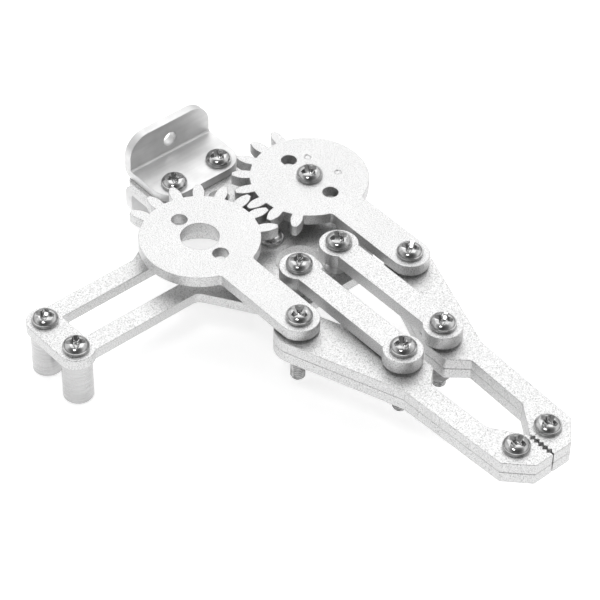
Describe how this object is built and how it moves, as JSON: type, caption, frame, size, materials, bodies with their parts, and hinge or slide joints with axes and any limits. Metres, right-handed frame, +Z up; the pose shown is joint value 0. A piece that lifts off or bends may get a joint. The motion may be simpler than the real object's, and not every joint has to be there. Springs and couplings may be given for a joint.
{
  "type": "robot gripper",
  "caption": "Bare aluminium parallel gripper for a small robot arm: two meshing partial gears swing two jaws on links, with a slotted servo frame and angle brackets.",
  "frame": {"origin": "on the rear face of the angle brackets, midway between their two flange holes, in the middle plane of the base plate", "axes": "+X forward to the jaw tips, +Y from the drive gear to the driven gear, +Z up along the gear axes"},
  "size_m": [0.1156, 0.0801, 0.0223],
  "materials": {
    "blasted_aluminium": "sand-blasted, fine sparkle",
    "bracket_aluminium": "smooth satin",
    "turned_aluminium": "turned, faint rings",
    "screw_steel": "bright nickel plate",
    "nut_steel": "dull plated steel",
    "washer_steel": "plain plated steel"
  },
  "bodies": {
    "base": {"base_plate": "blasted_aluminium", "bracket_nut_drive_side": "nut_steel", "bracket_nut_driven_side": "nut_steel", "bracket_screw_drive_side": "screw_steel", "bracket_screw_driven_side": "screw_steel", "drive_link_rear_nut": "nut_steel", "drive_link_rear_screw": "screw_steel", "drive_link_spacer": "turned_aluminium", "driven_link_rear_nut": "nut_steel", "driven_link_rear_screw": "screw_steel", "driven_link_spacer": "turned_aluminium", "gear_centre_nut": "nut_steel", "gear_centre_screw": "screw_steel", "gear_spacer": "turned_aluminium", "lower_bracket": "bracket_aluminium", "servo_screw_far_front": "screw_steel", "servo_screw_far_rear": "screw_steel", "servo_screw_near_front": "screw_steel", "servo_screw_near_rear": "screw_steel", "standoff_far_front": "turned_aluminium", "standoff_far_rear": "turned_aluminium", "standoff_near_front": "turned_aluminium", "standoff_near_rear": "turned_aluminium", "upper_bracket": "bracket_aluminium"},
    "drive_gear": {"drive_gear_arm": "blasted_aluminium"},
    "driven_gear": {"driven_gear_arm": "blasted_aluminium"},
    "drive_link": {"drive_link": "blasted_aluminium"},
    "driven_link": {"driven_link": "blasted_aluminium"},
    "drive_jaw": {"drive_jaw_upper_plate": "blasted_aluminium", "drive_jaw_lower_plate": "blasted_aluminium", "drive_arm_screw": "screw_steel", "drive_arm_washer": "washer_steel", "drive_link_washer": "washer_steel", "drive_link_front_screw": "screw_steel", "drive_link_front_nut": "nut_steel", "drive_tip_screw": "screw_steel"},
    "driven_jaw": {"driven_jaw_upper_plate": "blasted_aluminium", "driven_jaw_lower_plate": "blasted_aluminium", "driven_arm_screw": "screw_steel", "driven_arm_washer": "washer_steel", "driven_link_washer": "washer_steel", "driven_link_front_screw": "screw_steel", "driven_link_front_nut": "nut_steel", "driven_tip_screw": "screw_steel"}
  },
  "joints": [
    {"name": "drive_gear_turn", "type": "hinge", "parent": "base", "child": "drive_gear", "pos_m": [0.0296, -0.0145, 0.0055], "axis": [0, 0, -1], "range_deg": [0, 60]},
    {"name": "drive_link_turn", "type": "hinge", "parent": "base", "child": "drive_link", "pos_m": [0.0492, -0.0052, 0.00575], "axis": [0, 0, -1], "range_deg": [0, 60]},
    {"name": "drive_jaw_turn", "type": "hinge", "parent": "drive_gear", "child": "drive_jaw", "pos_m": [0.06, -0.0145, 0.00375], "axis": [0, 0, 1], "range_deg": [0, 60]},
    {"name": "driven_gear_turn", "type": "hinge", "parent": "base", "child": "driven_gear", "pos_m": [0.0296, 0.0145, 0.0055], "axis": [0, 0, 1], "range_deg": [0, 60]},
    {"name": "driven_link_turn", "type": "hinge", "parent": "base", "child": "driven_link", "pos_m": [0.0492, 0.0052, 0.00575], "axis": [0, 0, 1], "range_deg": [0, 60]},
    {"name": "driven_jaw_turn", "type": "hinge", "parent": "driven_gear", "child": "driven_jaw", "pos_m": [0.06, 0.0145, 0.00375], "axis": [0, 0, -1], "range_deg": [0, 60]}
  ],
  "couplings": [
    {"joint": "drive_link_turn", "follows": "drive_gear_turn", "ratio": 1},
    {"joint": "drive_jaw_turn", "follows": "drive_gear_turn", "ratio": 1},
    {"joint": "driven_gear_turn", "follows": "drive_gear_turn", "ratio": 1},
    {"joint": "driven_link_turn", "follows": "drive_gear_turn", "ratio": 1},
    {"joint": "driven_jaw_turn", "follows": "drive_gear_turn", "ratio": 1}
  ]
}
